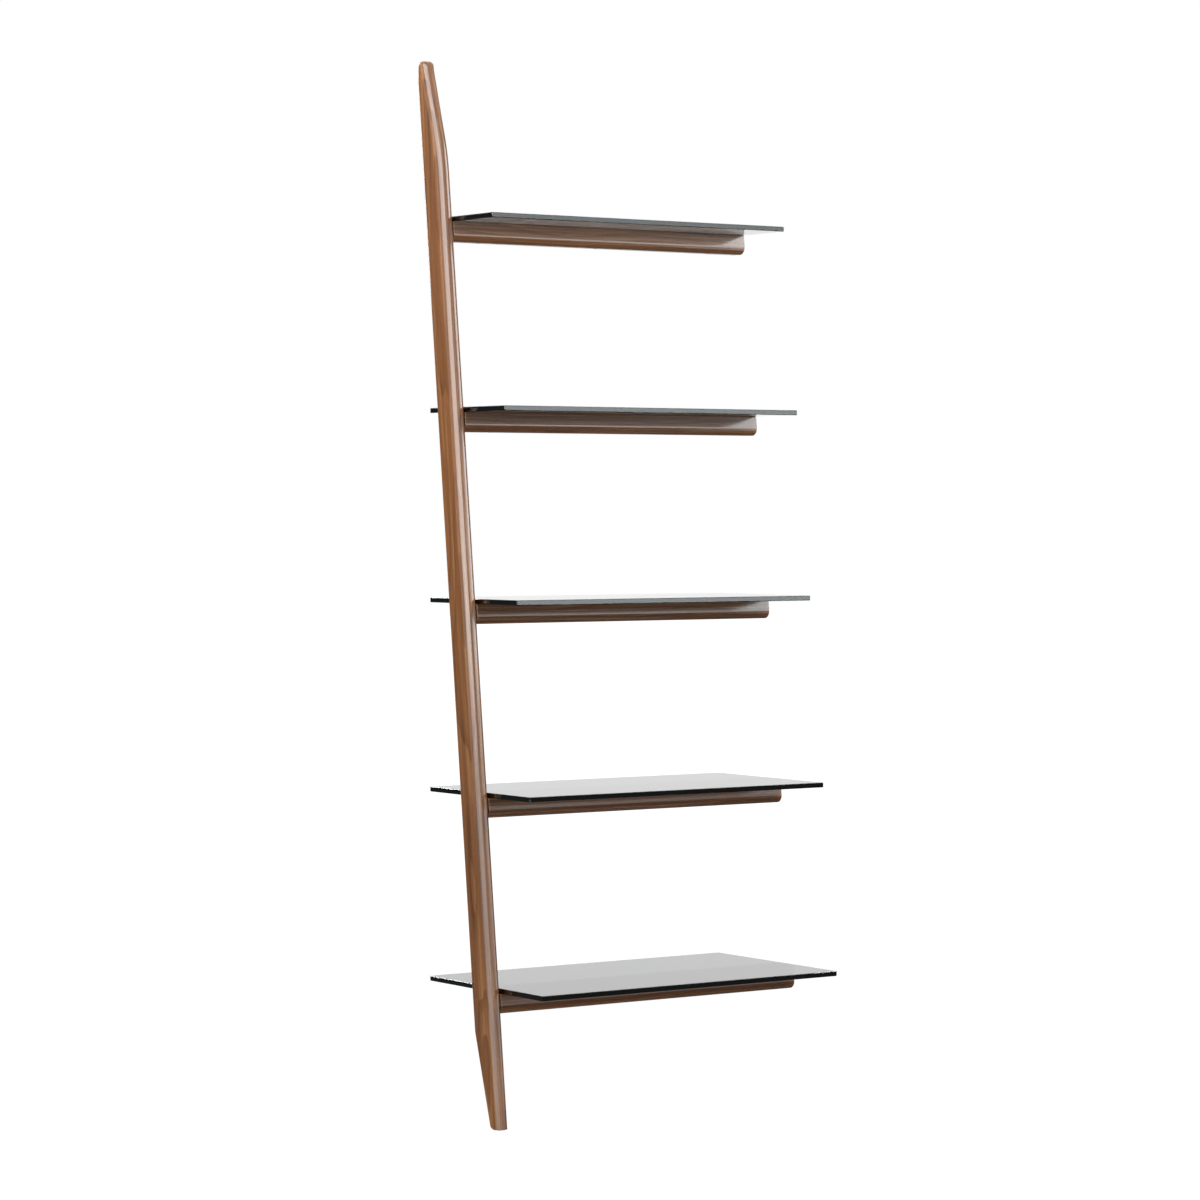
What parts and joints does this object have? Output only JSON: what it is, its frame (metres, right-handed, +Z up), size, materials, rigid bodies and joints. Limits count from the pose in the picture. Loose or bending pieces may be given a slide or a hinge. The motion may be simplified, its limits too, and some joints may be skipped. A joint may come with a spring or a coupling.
{
  "type": "leaning ladder shelf",
  "caption": "Wall-leaning ladder shelf bay: a tapered walnut post with cross beams that carry dark tinted glass shelves, deeper towards the floor.",
  "frame": {"origin": "on the floor, at the middle of the bay's width and depth", "axes": "+Z up, +Y towards the wall, +X along the wall away from the post"},
  "size_m": [0.7534, 0.405, 2.105],
  "materials": {
    "walnut": "satin lacquer",
    "smoked_glass": "polished",
    "disc_black": "matt black",
    "bracket_black": "matt black",
    "fastener_steel": "zinc plated",
    "dowel_beech": "raw",
    "grip_rubber": "matt"
  },
  "bodies": {
    "root": {"post": "walnut", "foot_pad": "grip_rubber", "wall_bracket": "bracket_black", "bracket_screws": "fastener_steel", "shelf_beam_1": "walnut", "glass_shelf_1": "smoked_glass", "glass_discs_1": "disc_black", "disc_screws_1": "fastener_steel", "rail_bolt_1": "fastener_steel", "rail_washer_1": "fastener_steel", "rail_nut_1": "fastener_steel", "beam_dowels_1": "dowel_beech", "shelf_beam_2": "walnut", "glass_shelf_2": "smoked_glass", "glass_discs_2": "disc_black", "disc_screws_2": "fastener_steel", "rail_bolt_2": "fastener_steel", "rail_washer_2": "fastener_steel", "rail_nut_2": "fastener_steel", "beam_dowels_2": "dowel_beech", "shelf_beam_3": "walnut", "glass_shelf_3": "smoked_glass", "glass_discs_3": "disc_black", "disc_screws_3": "fastener_steel", "rail_bolt_3": "fastener_steel", "rail_washer_3": "fastener_steel", "rail_nut_3": "fastener_steel", "beam_dowels_3": "dowel_beech", "shelf_beam_4": "walnut", "glass_shelf_4": "smoked_glass", "glass_discs_4": "disc_black", "disc_screws_4": "fastener_steel", "rail_bolt_4": "fastener_steel", "rail_washer_4": "fastener_steel", "rail_nut_4": "fastener_steel", "beam_dowels_4": "dowel_beech", "shelf_beam_5": "walnut", "glass_shelf_5": "smoked_glass", "glass_discs_5": "disc_black", "disc_screws_5": "fastener_steel", "rail_bolt_5": "fastener_steel", "rail_washer_5": "fastener_steel", "rail_nut_5": "fastener_steel", "beam_dowels_5": "dowel_beech"}
  },
  "joints": []
}
